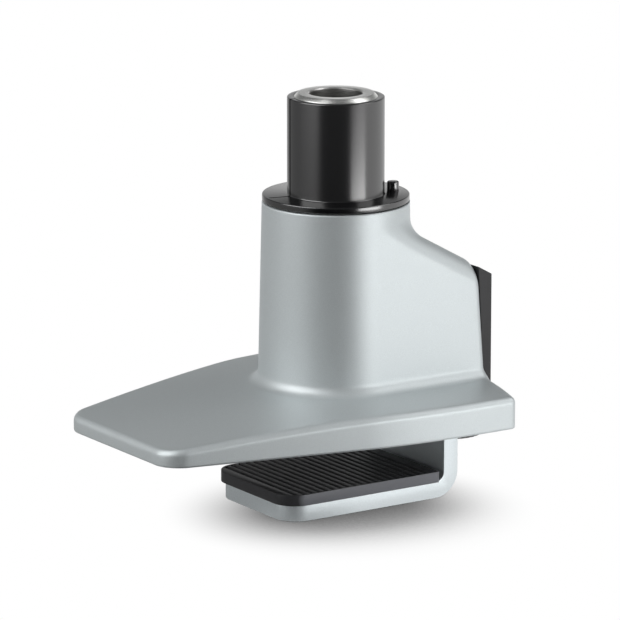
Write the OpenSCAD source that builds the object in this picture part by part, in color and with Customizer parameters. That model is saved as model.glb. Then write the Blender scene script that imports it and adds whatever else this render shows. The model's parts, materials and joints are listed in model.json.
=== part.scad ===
// Table clamp stand that carries the swing arm of a bench microscope.
// The origin is on the post's axis, in the plane of the desk face.
// +Z is up, -Y points along the plate's nose and +Y to the clamp screw.

/* [Post and bearing sleeve] */
// Outside diameter of the steel post
post_d = 30; // [26:0.5:32]
// Bore through the post
post_bore_d = 19; // [12:0.5:22]
// Length of post that stands above the tower
post_above = 39.4; // [30:0.1:60]
// Chamfer on the post's top edge
post_chamfer = 1.3; // [0.5:0.1:2]
// Wall of the slit bearing sleeve
sleeve_wall = 2.45; // [1.5:0.05:4]
// Length of post that shows above the sleeve
post_reveal = 1.3; // [0.5:0.1:3]
// Radial running clearance of sleeve and screw journals
run_clear = 0.05; // [0.03:0.01:0.08]
// Thickness of the sleeve's flange
flange_t = 2.2; // [1.5:0.05:4]
// Width of the saw slit in the sleeve
slit_w = 1; // [0.4:0.1:1.5]
// Direction of the slit, seen from above
slit_angle = 257; // [240:1:275]
// Diameter of the stop pin
stop_pin_d = 4.3; // [3:0.1:5]
// Height of the stop pin above the flange
stop_pin_h = 3.6; // [2:0.1:6]
// Direction of the stop pin, seen from above
stop_pin_angle = 67; // [50:1:90]

/* [Tower and body] */
// Height of the tower's top above the desk face
tower_h = 79.1; // [70:0.1:95]
// Diameter of the tower at its top
tower_top_d = 53.2; // [50:0.1:58]
// Casting draft of the tower and the body's sides, in degrees
draft = 1.3; // [0.5:0.1:2]
// Distance from the post's axis to the body's rear face, at the desk face
body_len = 47.8; // [46:0.1:56]
// Casting draft of the rear face, in degrees
rear_draft = 3.6; // [2:0.1:5]
// Slope of the roof behind the tower, in degrees
roof_angle = 29; // [24:0.5:31]
// Height of the roof above the desk face, at the body's rear
roof_rear_h = 53.2; // [52:0.1:57]
// Rounding between the roof and the body's sides
roof_round = 7.5; // [4:0.1:10]
// Fillet round the foot of the body
foot_round = 4; // [2:0.1:6]

/* [Plate] */
// Distance from the post's axis to the nose
nose_reach = 93; // [80:0.1:120]
// Width of the plate at the nose
nose_w = 68.5; // [50:0.5:80]
// Width of the plate at its rear corners
plate_w = 109; // [96:0.1:130]
// Distance from the post's axis to the middle of the rear edge
rear_reach = 50.2; // [50:0.1:60]
// Radius of the curved rear edge
rear_arc_r = 173; // [140:1:260]
// Height of the plate's edge at the nose
nose_h = 6.3; // [5:0.1:8]
// Height of the plate's edge beside the tower
side_h = 12; // [10:0.1:14]
// Height of the plate's top at the front of the body's foot
foot_front_h = 14.8; // [13:0.1:17]
// Height of the plate's top at the rear of the body's foot
foot_rear_h = 13.6; // [12.5:0.1:17]
// Rounding of the plate's top edge
edge_round = 2.4; // [1:0.1:2.8]
// Thickness of the rubber pad under the plate
desk_pad_t = 2; // [1.5:0.1:3]
// How far the rubber pad stands below the casting
desk_pad_proud = 0.3; // [0.2:0.1:1]

/* [Clamp bracket and pad] */
// Width of the clamp bracket
bracket_w = 48; // [40:0.5:50]
// Thickness of the bracket's plate
bracket_t = 6.1; // [5:0.1:7]
// Distance from the post's axis to the leg's inner face
leg_reach = 31.3; // [30:0.1:34]
// Distance from the post's axis to the jaw's nose
jaw_reach = 36.1; // [28:0.1:45]
// Clear opening between the desk face and the jaw pad, as stored
jaw_opening = 20.2; // [15:0.1:24]
// Outer radius of the bracket's bend
bend_r = 9.5; // [7:0.1:12]
// Rounding of the jaw's nose corners
jaw_corner_r = 9; // [5:0.5:12]
// Thickness of the jaw pad, ribs included
pad_t = 4; // [3.5:0.1:6]
// How far the pad overhangs the jaw at the sides and the nose
pad_overhang = 1.2; // [0.5:0.1:3]
// Gap between the pad and the leg
pad_gap = 3; // [1:0.1:6]
// Pitch of the pad's ribs
rib_pitch = 3.1; // [1.5:0.1:5]
// Depth of the grooves between the ribs
rib_depth = 0.9; // [0.5:0.1:1.5]

/* [Clamp screw] */
// Diameter of the clamp screw
screw_d = 8; // [7:0.5:9]
// Lead of the clamp screw's thread
screw_lead = 1.5; // [1:0.25:2]
// Diameter of the knurled knob
knob_d = 25.6; // [24:0.1:30]
// Height of the knurled knob
knob_h = 13.2; // [11:0.1:18]
// Number of flutes round the knob
knob_flutes = 32; // [16:1:48]
// Gap between the knob and the leg
knob_gap = 0.9; // [0.5:0.1:2]
// Height of the nut block
nut_block_h = 10; // [9:0.5:11]
// Width of the nut block
nut_block_w = 28; // [26:0.5:32]

/* [Rear cover] */
// How far the rear cover's sides stand in from the body's, at the foot
cover_side_in = 2.1; // [1:0.1:3]
// Wall of the rear cover
cover_wall = 2.4; // [1.8:0.1:3]
// How far the cover's side edges stand behind the body's rear face
cover_side_step = 2.4; // [1.5:0.1:4]
// Radius of the rear cover's round back
cover_back_r = 25; // [20:0.5:26]
// Diameter of the rear cover's screws
cover_screw_d = 3; // [2.5:0.5:3.5]

/* [Hidden] */
$fn = 64;
hull_fn = 24;
cut = 1;
fit_gap = 0.3;
face_gap = 0.05;

// Post, sleeve and their seat in the tower
post_r = post_d / 2;
post_top_z = tower_h + post_above;
collar_rim = 3;
collar_r = post_r + collar_rim;
collar_t = 3;
pocket_rim = 5.5;
pocket_r = post_r + pocket_rim;
pocket_top_z = 12;
washer_gap = 1.5;
washer_r = pocket_r - washer_gap;
washer_t = 2;
ring_nut_gap = 1;
ring_nut_r = pocket_r - ring_nut_gap;
ring_nut_t = 6;
nut_notch_w = 4;
nut_notch_depth = 2;
thread_end = 1.2;
dowel_r = 1.2;
dowel_h = 9;
dowel_rim = 0.25;
dowel_place_r = collar_r - dowel_r - dowel_rim;
tower_top_r = tower_top_d / 2;
slip_washer_t = 0.5;
slip_washer_step = 2.5;
slip_washer_r = tower_top_r - slip_washer_step;
sleeve_in_r = post_r + run_clear;
sleeve_r = sleeve_in_r + sleeve_wall;
flange_step = 0.1;
flange_r = tower_top_r - flange_step;
flange_z = tower_h + slip_washer_t + face_gap;
sleeve_top_z = post_top_z - post_reveal;
slit_rim = 1;
stop_pin_r = stop_pin_d / 2;
stop_pin_step = 1.1;
stop_pin_place_r = (sleeve_r + flange_r) / 2 - stop_pin_step;
stop_pin_seat_share = 0.75;
stop_pin_seat = flange_t * stop_pin_seat_share;

// Tower and body
tower_foot_r = tower_top_r + tower_h * tan(draft);
roof_drop = tan(roof_angle);
body_rear_beyond = 20;

// Plate
plate_under_z = desk_pad_proud;
edge_bevel = 0.5;
edge_bow = 0.5;
nose_corner_reach = 8;
rear_corner_reach = 2;
height_power = 1.5;
foot_power = 8;
level_y = -10;
foot_sink = 1.5;
straight_steps = 8;
curve_steps = 7;
round_steps = 4;
side_knee_share = 0.919;
side_knee_y = -20;
desk_pad_inset = 6;
desk_pad_gap = 4.3;
desk_pad_rear_y = leg_reach - desk_pad_gap;

// Clamp screw where it turns in its bearing plate
screw_r = screw_d / 2;
plate_seat_t = 4.4;
bearing_top_z = plate_under_z + plate_seat_t;
bush_wall = 2;
bush_r = screw_r + bush_wall;
bush_flange_rim = 2;
bush_flange_r = bush_r + bush_flange_rim;
bush_flange_t = 1.2;
screw_collar_rim = 3;
screw_collar_r = screw_r + screw_collar_rim;
screw_collar_t = 2.4;
collar_z = bearing_top_z + bush_flange_t + face_gap;

// Travel of the jaw from where it is stored, down to open
travel_down = 11;

// Bracket, with its jaw, its pad and the nut block on its leg
pad_top_z = -jaw_opening;
jaw_top_z = pad_top_z - pad_t;
jaw_under_z = jaw_top_z - bracket_t;
leg_outer_y = leg_reach + bracket_t;
pad_w = bracket_w + 2 * pad_overhang;
pad_front_y = -jaw_reach - pad_overhang;
pad_rear_y = leg_reach - pad_gap;
rib_share = 0.5;
pad_rim = 0.6;
block_z = collar_z + screw_collar_t + fit_gap + travel_down;
leg_top_above = 2.5;
leg_top_z = block_z + nut_block_h + leg_top_above;
leg_corner = 4;
m4_r = 2;
m4_head_r = 3.8;
m4_head_h = 2.2;
pad_screw_shares = [-0.5, 0.35];
pad_screw_seat_share = 0.6;
pad_screw_len = bracket_t + pad_t * pad_screw_seat_share;
block_screw_step = 4.5;
block_screw_x = nut_block_w / 2 - block_screw_step;

// Channel's top, under the roof, and the jaw's travel up to close
channel_roof_t = 10.05;
channel_top_z = roof_rear_h - channel_roof_t;
channel_head = 1;
travel_up = channel_top_z - channel_head - leg_top_z;

// Clamp screw, its knob and its clip
knob_r = knob_d / 2;
screw_y = leg_outer_y + knob_gap + knob_r;
thread_depth_share = 0.4;
thread_r = screw_r - screw_lead * thread_depth_share;
thread_run_out = 1;
thread_start_z = collar_z + screw_collar_t + thread_run_out;
clip_t = 0.8;
clip_z = block_z + nut_block_h + travel_up + fit_gap;
clip_rim = 1.5;
clip_r = screw_r + clip_rim;
clip_groove_depth = 1;
clip_groove_r = screw_r - clip_groove_depth;
clip_mouth_share = 0.8;
screw_end = 0.8;
screw_top_z = clip_z + clip_t + screw_end;
thrust_washer_t = 1.1;
knob_top_z = plate_under_z - thrust_washer_t - 2 * face_gap;
knob_under_z = knob_top_z - knob_h;
screw_recess = 1;
screw_under_z = knob_under_z + screw_recess;
flute_r = 0.8;
flute_place_share = 0.35;
knob_bevel = 0.8;
knob_pin_r = 1.25;
knob_pin_z = (knob_top_z + knob_under_z) / 2;
knob_pin_recess = 1;
knob_pin_len = knob_d - 2 * knob_pin_recess;
block_nose_wall = 2.5;
block_nose_y = screw_y + screw_r + block_nose_wall;
block_step_y = screw_y - screw_r;
block_screw_end = 1.5;
block_screw_len = block_step_y - leg_reach - block_screw_end;

// Channel in the casting for the leg, the nut block and the screw
slot_w = bracket_w + 2 * fit_gap;
slot_front_y = leg_reach - fit_gap;
slot_rear_y = leg_outer_y + fit_gap;
block_pocket_room = 1.5;
block_pocket_w = nut_block_w + 2 * block_pocket_room;
seat_bar_end = 8;
seat_bar_w = bracket_w + 2 * seat_bar_end;
seat_step = 0.8;
seat_front_y = slot_rear_y + seat_step;
seat_gap = 0.2;
seat_screw_step = 2;
seat_screw_x = bracket_w / 2 + seat_screw_step;
seat_screw_y = (seat_front_y + body_len) / 2;
m5_r = 2.5;
m5_head_r = 3.8;
m5_head_h = 2;
m5_len = 11;

// Rear cover
cover_half = tower_foot_r - cover_side_in;
cover_back_room = 7.4;
cover_back_y = screw_y + screw_r + cover_back_room;
cover_side_y = body_len + cover_side_step;
cover_arc_y = cover_back_y - cover_back_r;
cover_corner = [cover_half, cover_side_y - cover_arc_y];
cover_flank_angle = atan2(cover_corner.y, cover_corner.x) + acos(cover_back_r / norm(cover_corner));
cover_roof_step = 1;
cover_under_z = bearing_top_z + face_gap;
cover_screw_step = 4.4;
cover_screw_x = cover_half - cover_wall - cover_screw_step;
cover_screw_low = 12.3;
cover_screw_high = 7.2;
cover_screw_heights = [cover_under_z + cover_screw_low, channel_top_z - cover_screw_high];
cover_screw_len = 6;
cover_screw_r = cover_screw_d / 2;
cover_screw_rim = 1.3;
cover_screw_head_r = cover_screw_r + cover_screw_rim;
cover_screw_head_h = 1.8;
cover_pillar_wall = 0.9;
cover_pillar_r = cover_screw_head_r + cover_pillar_wall;
cover_pillar_floor = 2;

// Height of the roof above a place along Y, and the rear face's Y at a height
function roof_z(y) = roof_rear_h + (body_len - y) * roof_drop;
function rear_y(z) = body_len - z * tan(rear_draft);

// Points and outward normals on curves with one bend
function bend(a, b, c, t) = (1 - t) * (1 - t) * a + 2 * t * (1 - t) * b + t * t * c;
function bend_dir(a, b, c, t) = (1 - t) * (b - a) + t * (c - b);
function outward(d) = [d.y, -d.x] / norm(d);
function bend_row(a, b, c, steps, first) = [
    for (i = [first : steps]) [bend(a, b, c, i / steps), outward(bend_dir(a, b, c, i / steps))]
];
// A nearly straight edge, bowed outward a little as castings are
function bowed_row(a, b, steps) =
    let (middle = (a + b) / 2 + outward(b - a) * edge_bow)
    [for (i = [1 : steps - 1]) [bend(a, middle, b, i / steps), outward(bend_dir(a, middle, b, i / steps))]];

// Right half of the plate's outline, from the nose's middle to the rear's middle
nose_corner = [nose_w / 2, -nose_reach];
knee = [plate_w / 2 * side_knee_share, side_knee_y];
side_dir = (knee - nose_corner) / norm(knee - nose_corner);
side_bend = knee + side_dir * (plate_w / 2 - knee.x) / side_dir.x;
function rear_edge_y(x) = rear_reach - rear_arc_r + sqrt(rear_arc_r * rear_arc_r - x * x);
rear_corner = [plate_w / 2, rear_edge_y(plate_w / 2)];
rear_corner_in = [plate_w / 2 - rear_corner_reach, rear_edge_y(plate_w / 2 - rear_corner_reach)];
nose_line_end = nose_corner - [nose_corner_reach, 0];
side_line_start = nose_corner + side_dir * nose_corner_reach;
side_end = rear_corner - [0, rear_corner_reach];
nose_steps = 3;
nose_row = [for (i = [nose_steps : 2 * nose_steps - 2])
    bowed_row([-nose_line_end.x, nose_line_end.y], nose_line_end, 2 * nose_steps)[i]];
right_half = concat(
    [[[0, -nose_reach - edge_bow / 2], [0, -1]]],
    nose_row,
    bend_row(nose_line_end, nose_corner, side_line_start, curve_steps, 0),
    bowed_row(side_line_start, knee, straight_steps),
    bend_row(knee, side_bend, side_end, curve_steps, 0),
    bend_row(side_end, rear_corner, rear_corner_in, round_steps, 1),
    [for (i = [1 : curve_steps])
        let (x = rear_corner_in.x * (1 - i / curve_steps), y = rear_edge_y(x))
        [[x, y], [x, y - rear_reach + rear_arc_r] / rear_arc_r]]
);
last_right = len(right_half) - 1;
outline = concat(
    right_half,
    [for (i = [last_right - 1 : -1 : 1])
        [[-right_half[i][0].x, right_half[i][0].y], [-right_half[i][1].x, right_half[i][1].y]]]
);
outline_count = len(outline);

// Height of the plate's edge along Y: it climbs from the nose and levels off
function edge_h(y) =
    let (left = min(1, max(0, (level_y - y) / (nose_reach + level_y))))
    side_h - (side_h - nose_h) * pow(left, height_power);
foot_tilt = (foot_rear_h - foot_front_h) / (tower_foot_r + body_len);
function foot_z(y) = foot_front_h + (y + tower_foot_r) * foot_tilt;
// Where a ray from the post's axis through p meets a round-cornered curve within the body's foot
function foot_point(p) =
    let (d = p / norm(p), r = tower_foot_r - foot_sink, back = rear_y(foot_rear_h) - foot_sink)
    d.y <= 0 ? d * r : d * pow(pow(abs(d.x) / r, foot_power) + pow(d.y / back, foot_power), -1 / foot_power);

function inset_ring(inset) = [for (s = outline) s[0] - s[1] * inset];
plate_rings = concat(
    [[for (p = inset_ring(edge_bevel)) [p.x, p.y, plate_under_z]]],
    [[for (p = inset_ring(0)) [p.x, p.y, plate_under_z + edge_bevel]]],
    [for (i = [0 : round_steps])
        let (a = 90 * i / round_steps)
        [for (s = outline)
            let (p = s[0] - s[1] * edge_round * (1 - cos(a)))
            [p.x, p.y, edge_h(s[0].y) - edge_round * (1 - sin(a))]]],
    [[for (s = outline) let (p = foot_point(s[0])) [p.x, p.y, foot_z(p.y)]]]
);
ring_count = len(plate_rings);

module cast_plate() {
    points = [for (ring = plate_rings) for (p = ring) p];
    sides = [
        for (r = [0 : ring_count - 2]) for (i = [0 : outline_count - 1])
            let (j = (i + 1) % outline_count, a = r * outline_count, b = a + outline_count)
            for (face = [[a + i, b + i, b + j], [a + i, b + j, a + j]]) face
    ];
    under = [[for (i = [0 : outline_count - 1]) i]];
    top = [[for (i = [outline_count - 1 : -1 : 0]) (ring_count - 1) * outline_count + i]];
    polyhedron(points = points, faces = concat(under, sides, top), convexity = 4);
}

// Everything behind the body's drafted rear face, moved back by a gap
module behind_rear_face(gap) {
    reach = 2 * plate_w;
    translate([-reach / 2, body_len + gap, 0])
        rotate([rear_draft, 0, 0])
            translate([0, 0, -reach / 2]) cube([reach, reach, reach]);
}

// Everything above the roof's plane, moved down by a step
module above_roof(step) {
    reach = 2 * plate_w;
    translate([-reach / 2, body_len, roof_rear_h - step])
        rotate([-roof_angle, 0, 0])
            translate([0, -reach / 2, 0]) cube([reach, reach, reach]);
}

// The round part of a body's roof edge: a short rod along the roof's slope
module roof_edge(x, y, z) {
    rod = 0.5;
    translate([x, y, z]) rotate([-90 - roof_angle, 0, 0]) cylinder(r = roof_round, h = rod, $fn = hull_fn);
}

module body_block() {
    under_roof = roof_round / cos(roof_angle);
    front_y = (roof_rear_h - tower_h) / roof_drop + body_len;
    rear_end_y = body_len + body_rear_beyond;
    slab_z = plate_under_z + cut;
    slab_half = tower_foot_r - slab_z * tan(draft);
    front_x = tower_top_r - roof_round;
    rear_x = tower_foot_r - roof_z(rear_end_y) * tan(draft) - roof_round;
    difference() {
        hull() {
            for (side = [-1, 1]) {
                roof_edge(side * front_x, front_y, tower_h - under_roof);
                roof_edge(side * rear_x, rear_end_y, roof_z(rear_end_y) - under_roof);
            }
            translate([-slab_half, 0, slab_z]) cube([2 * slab_half, rear_end_y, cut]);
        }
        behind_rear_face(0);
    }
}

module tower() {
    translate([0, 0, plate_under_z + cut])
        cylinder(r1 = tower_foot_r - (plate_under_z + cut) * tan(draft), r2 = tower_top_r,
            h = tower_h - plate_under_z - cut);
}

// Concave fillet round the tower's front and along both sides of the body
module foot_fillet() {
    wall_r = tower_foot_r - foot_front_h * tan(draft);
    profile = [
        [-foot_sink, -foot_sink], [foot_round, -foot_sink],
        for (i = [0 : round_steps * 2])
            let (a = 90 * i / (round_steps * 2))
            [foot_round * (1 - sin(a)), foot_round * (1 - cos(a))],
        [-foot_sink, foot_round]
    ];
    run = rear_y(foot_rear_h);
    translate([0, 0, foot_z(0)]) rotate([atan(foot_tilt), 0, 0]) {
        rotate([0, 0, 180]) rotate_extrude(angle = 180) translate([wall_r, 0]) polygon(profile);
        for (side = [0, 1]) mirror([side, 0, 0])
            translate([wall_r, run, 0]) rotate([90, 0, 0]) linear_extrude(run) polygon(profile);
    }
}

module countersunk(r, head_r, head_h, length) {
    cylinder(r1 = head_r, r2 = r, h = head_h);
    cylinder(r = r, h = length);
}

module at_seat_screws() {
    for (side = [-1, 1]) translate([side * seat_screw_x, seat_screw_y, plate_under_z]) children();
}

module at_cover_screws() {
    for (side = [-1, 1]) for (z = cover_screw_heights)
        translate([side * cover_screw_x, rear_y(z), z]) rotate([90, 0, 0]) children();
}

module housing() {
    color([0.72, 0.76, 0.78]) difference() {
        union() {
            cast_plate();
            tower();
            body_block();
            foot_fillet();
        }
        // Seat of the post, its collar, its nut and its dowel
        translate([0, 0, plate_under_z - cut]) cylinder(r = post_r, h = tower_h);
        translate([0, 0, tower_h - collar_t]) cylinder(r = collar_r, h = collar_t + cut);
        translate([0, 0, plate_under_z - cut]) cylinder(r = pocket_r, h = pocket_top_z - plate_under_z + cut);
        translate([0, -dowel_place_r, tower_h - dowel_h]) cylinder(r = dowel_r, h = dowel_h + cut);
        // Recess of the rubber pad
        translate([0, 0, plate_under_z - cut])
            linear_extrude(desk_pad_t - plate_under_z + cut) pad_outline(desk_pad_inset - fit_gap, fit_gap);
        // Channel of the leg and pocket of the nut block, open below and behind
        translate([-slot_w / 2, slot_front_y, -cut])
            cube([slot_w, slot_rear_y - slot_front_y, channel_top_z + cut]);
        translate([-block_pocket_w / 2, slot_rear_y - cut, -cut])
            cube([block_pocket_w, plate_w, channel_top_z + cut]);
        // Seat of the bearing plate
        translate([-seat_bar_w / 2 - seat_gap, seat_front_y - seat_gap, -cut])
            cube([seat_bar_w + 2 * seat_gap, body_len - seat_front_y + seat_gap, bearing_top_z + cut]);
        at_seat_screws() cylinder(r = m5_r, h = m5_len);
        // Notch of the rear cover in the plate's rear edge
        intersection() {
            behind_rear_face(0);
            translate([-cover_half - seat_gap, 0, -cut])
                cube([2 * (cover_half + seat_gap), plate_w, side_h + foot_front_h]);
        }
        at_cover_screws() translate([0, 0, -cut]) cylinder(r = cover_screw_r, h = cover_screw_len + cut);
    }
}

module post() {
    under_z = desk_pad_t + thread_end;
    color([0.78, 0.78, 0.76]) difference() {
        union() {
            translate([0, 0, under_z]) cylinder(r = post_r, h = post_top_z - post_chamfer - under_z);
            translate([0, 0, post_top_z - post_chamfer])
                cylinder(r1 = post_r, r2 = post_r - post_chamfer, h = post_chamfer);
            translate([0, 0, tower_h - collar_t]) cylinder(r = collar_r, h = collar_t);
        }
        translate([0, 0, -cut]) cylinder(r = post_bore_d / 2, h = post_top_z + 2 * cut);
        translate([0, -dowel_place_r, tower_h - dowel_h]) cylinder(r = dowel_r, h = dowel_h + cut);
    }
}

module ring(in_r, out_r, height) {
    difference() {
        cylinder(r = out_r, h = height);
        translate([0, 0, -cut]) cylinder(r = in_r, h = height + 2 * cut);
    }
}

module post_washer() {
    color([0.6, 0.6, 0.58]) translate([0, 0, pocket_top_z - washer_t]) ring(post_r, washer_r, washer_t);
}

module post_ring_nut() {
    color([0.45, 0.45, 0.46]) translate([0, 0, pocket_top_z - washer_t - ring_nut_t]) difference() {
        ring(post_r, ring_nut_r, ring_nut_t);
        for (a = [0 : 90 : 270]) rotate([0, 0, a])
            translate([ring_nut_r - nut_notch_depth, -nut_notch_w / 2, -cut])
                cube([nut_notch_depth + cut, nut_notch_w, ring_nut_t + 2 * cut]);
    }
}

module post_dowel() {
    color([0.7, 0.7, 0.7]) translate([0, -dowel_place_r, tower_h - dowel_h]) cylinder(r = dowel_r, h = dowel_h);
}

// Outline of the rubber pad: the plate's own, moved in and cut off before the leg
module pad_outline(inset, beyond) {
    ring = inset_ring(inset);
    intersection() {
        polygon(ring);
        translate([-plate_w, -nose_reach - cut])
            square([2 * plate_w, nose_reach + desk_pad_rear_y + cut + beyond]);
    }
}

module desk_pad() {
    color([0.16, 0.16, 0.17]) linear_extrude(desk_pad_t) pad_outline(desk_pad_inset, 0);
}

module slip_washer() {
    color([0.85, 0.85, 0.82]) translate([0, 0, tower_h]) ring(post_r, slip_washer_r, slip_washer_t);
}

module bearing_sleeve() {
    color([0.09, 0.09, 0.1]) difference() {
        translate([0, 0, flange_z]) rotate_extrude() polygon([
            [sleeve_in_r, 0], [flange_r, 0], [flange_r, flange_t],
            [sleeve_r, flange_t], [sleeve_r, sleeve_top_z - flange_z], [sleeve_in_r, sleeve_top_z - flange_z]
        ]);
        rotate([0, 0, slit_angle]) translate([0, -slit_w / 2, flange_z - cut])
            cube([flange_r - slit_rim, slit_w, sleeve_top_z]);
        at_stop_pin() cylinder(r = stop_pin_r, h = stop_pin_seat + cut);
    }
}

module at_stop_pin() {
    rotate([0, 0, stop_pin_angle])
        translate([stop_pin_place_r, 0, flange_z + flange_t - stop_pin_seat]) children();
}

module stop_pin() {
    color([0.1, 0.1, 0.1]) at_stop_pin() cylinder(r = stop_pin_r, h = stop_pin_seat + stop_pin_h);
}

// Flat plan of the jaw or its pad, with round corners at the nose
module jaw_plan(width, front_y, rear_y, corner_r) {
    translate([-width / 2, front_y + corner_r]) square([width, rear_y - front_y - corner_r]);
    translate([-width / 2 + corner_r, front_y]) square([width - 2 * corner_r, 2 * corner_r]);
    for (side = [-1, 1]) translate([side * (width / 2 - corner_r), front_y + corner_r]) circle(r = corner_r);
}

// Side view of the bracket, as [along Y, along Z]
module bracket_profile() {
    bend_in_r = bend_r - bracket_t;
    bend_y = leg_outer_y - bend_r;
    bend_z = jaw_under_z + bend_r;
    translate([-jaw_reach, jaw_under_z]) square([jaw_reach + bend_y, bracket_t]);
    translate([leg_reach, bend_z]) square([bracket_t, leg_top_z - bend_z]);
    translate([bend_y, bend_z]) intersection() {
        difference() {
            circle(r = bend_r);
            circle(r = bend_in_r);
        }
        translate([0, -bend_r]) square([bend_r, bend_r]);
    }
}

module at_pad_screws() {
    for (share = pad_screw_shares) translate([0, jaw_reach * share, jaw_under_z]) children();
}

module at_block_screws() {
    for (side = [-1, 1]) translate([side * block_screw_x, leg_reach, block_z + nut_block_h / 2])
        rotate([-90, 0, 0]) children();
}

module clamp_bracket() {
    color([0.8, 0.83, 0.84]) difference() {
        intersection() {
            translate([-bracket_w / 2, 0, 0]) rotate([90, 0, 90]) linear_extrude(bracket_w) bracket_profile();
            translate([0, 0, jaw_under_z - cut]) linear_extrude(leg_top_z - jaw_under_z + 2 * cut)
                jaw_plan(bracket_w, -jaw_reach, leg_outer_y + cut, jaw_corner_r);
        }
        for (side = [0, 1]) mirror([side, 0, 0])
            translate([bracket_w / 2, leg_outer_y + cut, leg_top_z]) rotate([90, 0, 0])
                linear_extrude(bracket_t + 2 * cut) polygon([
                    [cut, -leg_corner - cut], [cut, cut], [-leg_corner - cut, cut]
                ]);
        at_pad_screws() countersunk(m4_r, m4_head_r, m4_head_h, bracket_t + cut);
        at_block_screws() countersunk(m4_r, m4_head_r, m4_head_h, block_screw_len);
    }
}

module jaw_pad() {
    rib_count = floor((pad_rear_y - pad_front_y - 2 * rib_pitch) / rib_pitch);
    first_y = pad_front_y + rib_pitch * (1 + (1 - rib_share) / 2);
    color([0.14, 0.14, 0.15]) difference() {
        translate([0, 0, jaw_top_z]) linear_extrude(pad_t)
            jaw_plan(pad_w, pad_front_y, pad_rear_y, jaw_corner_r);
        intersection() {
            translate([0, 0, pad_top_z - rib_depth]) linear_extrude(rib_depth + cut)
                jaw_plan(pad_w - 2 * pad_rim, pad_front_y + pad_rim, pad_rear_y, jaw_corner_r - pad_rim);
            union() for (i = [0 : rib_count - 1])
                translate([-pad_w, first_y + i * rib_pitch, pad_top_z - rib_depth])
                    cube([2 * pad_w, rib_pitch * (1 - rib_share), rib_depth + cut]);
        }
        at_pad_screws() cylinder(r = m4_r, h = pad_screw_len);
    }
}

module pad_screws() {
    color([0.6, 0.6, 0.6]) at_pad_screws() countersunk(m4_r, m4_head_r, m4_head_h, pad_screw_len);
}

module nut_block() {
    color([0.72, 0.58, 0.3]) difference() {
        translate([0, 0, block_z]) linear_extrude(nut_block_h) difference() {
            union() {
                translate([-nut_block_w / 2, leg_outer_y]) square([nut_block_w, block_step_y - leg_outer_y]);
                translate([-screw_d, leg_outer_y]) square([2 * screw_d, block_nose_y - leg_outer_y]);
            }
            translate([0, screw_y]) circle(r = screw_r + run_clear);
        }
        at_block_screws() cylinder(r = m4_r, h = block_screw_len);
    }
}

module nut_block_screws() {
    color([0.5, 0.5, 0.52]) at_block_screws() countersunk(m4_r, m4_head_r, m4_head_h, block_screw_len);
}

// Screw with its thread as rings, turned in one profile
module clamp_screw() {
    turns = floor((clip_z - thread_start_z - clip_t) / screw_lead);
    thread = [
        for (i = [0 : turns - 1]) for (p = [[thread_r, 0], [screw_r, screw_lead / 2]])
            [p.x, thread_start_z + i * screw_lead + p.y]
    ];
    color([0.55, 0.55, 0.57]) difference() {
        translate([0, screw_y, 0]) rotate_extrude() polygon(concat(
            [[0, screw_under_z], [screw_r, screw_under_z], [screw_r, collar_z],
                [screw_collar_r, collar_z], [screw_collar_r, collar_z + screw_collar_t],
                [thread_r, collar_z + screw_collar_t]],
            thread,
            [[thread_r, thread_start_z + turns * screw_lead], [thread_r, clip_z],
                [clip_groove_r, clip_z], [clip_groove_r, clip_z + clip_t], [thread_r, clip_z + clip_t],
                [thread_r, screw_top_z], [0, screw_top_z]]
        ));
        knob_pin_shape(knob_pin_len);
    }
}

module knob_pin_shape(length) {
    translate([-length / 2, screw_y, knob_pin_z]) rotate([0, 90, 0]) cylinder(r = knob_pin_r, h = length);
}

module knob_pin() {
    color([0.6, 0.6, 0.6]) knob_pin_shape(knob_pin_len);
}

module thrust_washer() {
    color([0.8, 0.78, 0.7]) translate([0, screw_y, knob_top_z])
        ring(screw_r, bush_flange_r, thrust_washer_t);
}

module clamp_knob() {
    color([0.08, 0.08, 0.09]) difference() {
        translate([0, screw_y, knob_under_z]) {
            translate([0, 0, knob_bevel]) linear_extrude(knob_h - 2 * knob_bevel) difference() {
                circle(r = knob_r);
                for (i = [0 : knob_flutes - 1]) rotate([0, 0, 360 * i / knob_flutes])
                    translate([knob_r + flute_r * flute_place_share, 0]) circle(r = flute_r);
            }
            cylinder(r1 = knob_r - 2 * knob_bevel, r2 = knob_r - knob_bevel, h = knob_bevel);
            translate([0, 0, knob_h - knob_bevel])
                cylinder(r1 = knob_r - knob_bevel, r2 = knob_r - 2 * knob_bevel, h = knob_bevel);
        }
        translate([0, screw_y, knob_under_z - cut]) cylinder(r = screw_r, h = knob_h + 2 * cut);
        knob_pin_shape(knob_d + 2 * cut);
    }
}

module screw_clip() {
    color([0.4, 0.4, 0.42]) translate([0, screw_y, clip_z]) difference() {
        ring(clip_groove_r, clip_r, clip_t);
        translate([-clip_groove_r * clip_mouth_share, 0, -cut])
            cube([2 * clip_groove_r * clip_mouth_share, clip_r + cut, clip_t + 2 * cut]);
    }
}

module screw_bush() {
    color([0.7, 0.52, 0.28]) translate([0, screw_y, 0]) {
        translate([0, 0, plate_under_z]) ring(screw_r + run_clear, bush_r, plate_seat_t);
        translate([0, 0, bearing_top_z]) ring(screw_r + run_clear, bush_flange_r, bush_flange_t);
    }
}

// Plan of the rear cover: straight flanks that run from its side edges into a round back
module cover_plan(inset) {
    side_x = cover_half - inset;
    back = [for (i = [0 : 2 * curve_steps])
        let (a = cover_flank_angle + (180 - 2 * cover_flank_angle) * i / (2 * curve_steps))
        [cos(a), sin(a)] * (cover_back_r - inset) + [0, cover_arc_y]];
    side_y = back[0].y - (side_x - back[0].x) / tan(cover_flank_angle);
    polygon(concat([[-side_x, side_y], [-side_x, 0], [side_x, 0], [side_x, side_y]], back));
}

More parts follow.
